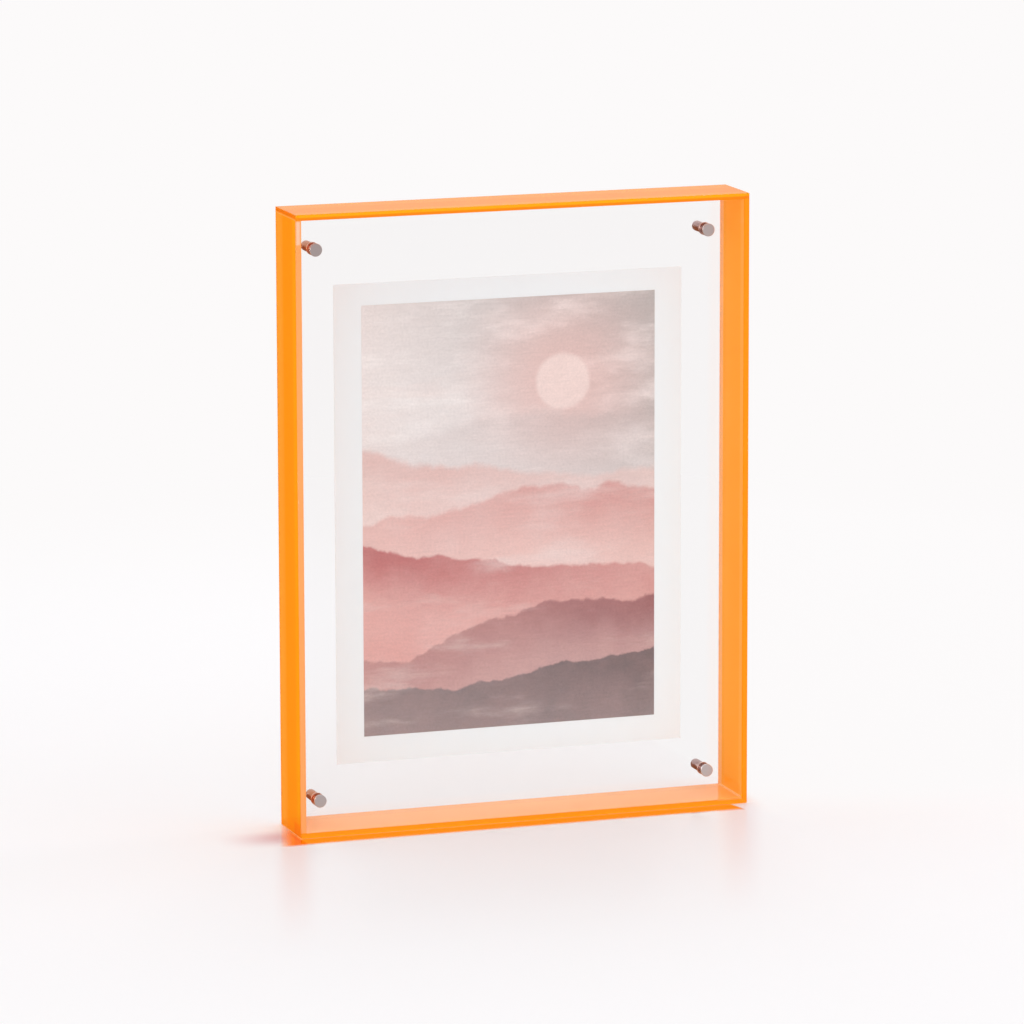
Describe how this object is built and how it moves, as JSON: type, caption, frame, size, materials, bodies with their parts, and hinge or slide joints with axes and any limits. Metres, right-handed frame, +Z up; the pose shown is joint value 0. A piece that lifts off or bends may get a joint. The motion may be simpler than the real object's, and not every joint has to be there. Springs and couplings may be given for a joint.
{
  "type": "acrylic photo frame",
  "caption": "Deep box photo frame of orange acrylic plates with clear panes, a mounted print and steel standoffs.",
  "frame": {"origin": "middle of the footprint, on the underside of the bottom plate", "axes": "+Z up, -Y out of the front towards the viewer, +X to the viewer's right"},
  "size_m": [0.322, 0.0466, 0.425],
  "materials": {
    "orange_acrylic": "see-through fluorescent orange cast acrylic, polished",
    "clear_acrylic": "clear cast acrylic, polished",
    "satin_steel": "turned stainless steel, satin",
    "threaded_steel": "plain steel stud",
    "soft_pad": "black rubber washer",
    "mount_card": "matt off-white card",
    "print_paper": null
  },
  "bodies": {
    "root": {"side_top": "orange_acrylic", "side_bottom": "orange_acrylic", "side_left": "orange_acrylic", "side_right": "orange_acrylic", "rear_pane": "clear_acrylic", "mount_card": "mount_card", "photo_print": "print_paper", "barrel_top_left": "satin_steel", "barrel_top_right": "satin_steel", "barrel_bottom_left": "satin_steel", "barrel_bottom_right": "satin_steel"},
    "front_pane": {"front_pane": "clear_acrylic", "ring_top_left": "satin_steel", "ring_top_right": "satin_steel", "ring_bottom_left": "satin_steel", "ring_bottom_right": "satin_steel", "pad_top_left": "soft_pad", "pad_top_right": "soft_pad", "pad_bottom_left": "soft_pad", "pad_bottom_right": "soft_pad"},
    "stud_top_left": {"stud_top_left": "threaded_steel"},
    "stud_top_right": {"stud_top_right": "threaded_steel"},
    "stud_bottom_left": {"stud_bottom_left": "threaded_steel"},
    "stud_bottom_right": {"stud_bottom_right": "threaded_steel"},
    "cap_top_left": {"cap_top_left": "satin_steel"},
    "cap_top_right": {"cap_top_right": "satin_steel"},
    "cap_bottom_left": {"cap_bottom_left": "satin_steel"},
    "cap_bottom_right": {"cap_bottom_right": "satin_steel"}
  },
  "joints": [
    {"name": "front_pane_slide", "type": "slide", "parent": "root", "child": "front_pane", "axis": [0, -1, 0], "range_m": [0, 0.036]},
    {"name": "stud_slide_top_left", "type": "slide", "parent": "front_pane", "child": "stud_top_left", "axis": [0, -1, 0], "range_m": [0, 0.0042]},
    {"name": "stud_slide_top_right", "type": "slide", "parent": "front_pane", "child": "stud_top_right", "axis": [0, -1, 0], "range_m": [0, 0.0042]},
    {"name": "stud_slide_bottom_left", "type": "slide", "parent": "front_pane", "child": "stud_bottom_left", "axis": [0, -1, 0], "range_m": [0, 0.0042]},
    {"name": "stud_slide_bottom_right", "type": "slide", "parent": "front_pane", "child": "stud_bottom_right", "axis": [0, -1, 0], "range_m": [0, 0.0042]},
    {"name": "cap_turn_top_left", "type": "hinge", "parent": "stud_top_left", "child": "cap_top_left", "pos_m": [-0.14, 0.0035, 0.3975], "axis": [0, -1, 0], "range_deg": [0, 2160]},
    {"name": "cap_turn_top_right", "type": "hinge", "parent": "stud_top_right", "child": "cap_top_right", "pos_m": [0.14, 0.0035, 0.3975], "axis": [0, -1, 0], "range_deg": [0, 2160]},
    {"name": "cap_turn_bottom_left", "type": "hinge", "parent": "stud_bottom_left", "child": "cap_bottom_left", "pos_m": [-0.14, 0.0035, 0.0195], "axis": [0, -1, 0], "range_deg": [0, 2160]},
    {"name": "cap_turn_bottom_right", "type": "hinge", "parent": "stud_bottom_right", "child": "cap_bottom_right", "pos_m": [0.14, 0.0035, 0.0195], "axis": [0, -1, 0], "range_deg": [0, 2160]}
  ],
  "couplings": [
    {"joint": "cap_turn_top_left", "follows": "stud_slide_top_left", "rad_per_m": 8976},
    {"joint": "cap_turn_top_right", "follows": "stud_slide_top_right", "rad_per_m": 8976},
    {"joint": "cap_turn_bottom_left", "follows": "stud_slide_bottom_left", "rad_per_m": 8976},
    {"joint": "cap_turn_bottom_right", "follows": "stud_slide_bottom_right", "rad_per_m": 8976}
  ]
}
